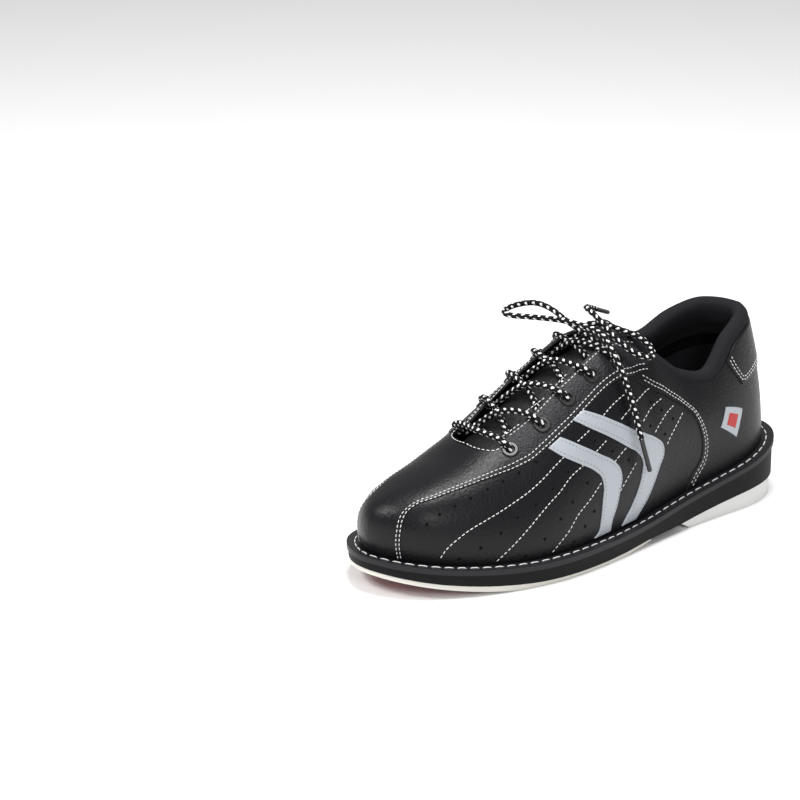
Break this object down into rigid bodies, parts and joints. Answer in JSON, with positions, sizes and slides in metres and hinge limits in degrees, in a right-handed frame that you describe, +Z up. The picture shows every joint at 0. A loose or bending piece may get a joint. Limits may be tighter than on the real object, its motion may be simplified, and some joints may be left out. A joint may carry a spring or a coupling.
{
  "type": "bowling shoe",
  "caption": "Low-cut lace-up bowling shoe, left foot: leather upper with chevrons, slide toe pad, gum tread and white heel.",
  "frame": {"origin": "middle of the sole's rectangle in plan, on the floor", "axes": "+X towards the toe, +Y towards the lateral (outer) side, +Z up"},
  "size_m": [0.3001, 0.1119, 0.1338],
  "materials": {
    "black_leather": "smooth black full-grain leather, soft gloss",
    "grain_leather": "pebbled black leather",
    "black_fabric": "black knitted lining over foam",
    "silver_leather": "smooth silver-grey synthetic leather",
    "black_rubber": "black moulded rubber",
    "cream_rubber": "cream rubber edge",
    "red_leather": "red suede leather pad",
    "gum_rubber": "tan gum rubber with fine cross grooves",
    "white_rubber": "smooth white rubber",
    "board": "fibre board",
    "black_gloss": "black enamelled metal",
    "lace_black": "braided black polyester with white flecks",
    "aglet_black": "black plastic film tip",
    "white_thread": "white sewing thread",
    "lace_white": "white flecks woven in the lace"
  },
  "bodies": {
    "root": {"welt": "black_rubber", "midsole": "black_rubber", "outsole_layer": "cream_rubber", "toe_pad": "red_leather", "forefoot_outsole": "gum_rubber", "heel_block": "white_rubber", "insole_board": "board", "footbed": "black_fabric", "side_panel_lateral": "black_leather", "quarter_lateral": "black_leather", "eyestay_lateral": "grain_leather", "side_panel_medial": "black_leather", "quarter_medial": "black_leather", "eyestay_medial": "grain_leather", "eyelets": "black_gloss", "vamp": "black_leather", "vamp_lining": "black_fabric", "quarter_lining_lateral": "black_fabric", "quarter_lining_medial": "black_fabric", "heel_tab": "black_leather", "collar_lateral": "black_fabric", "collar_medial": "black_fabric", "tongue": "black_fabric", "chevron_front_lateral": "silver_leather", "chevron_rear_lateral": "silver_leather", "chevron_front_medial": "silver_leather", "chevron_rear_medial": "silver_leather", "emblem": "silver_leather", "lace_a": "lace_black", "lace_b": "lace_black", "aglet_a": "aglet_black", "aglet_b": "aglet_black"}
  },
  "joints": []
}
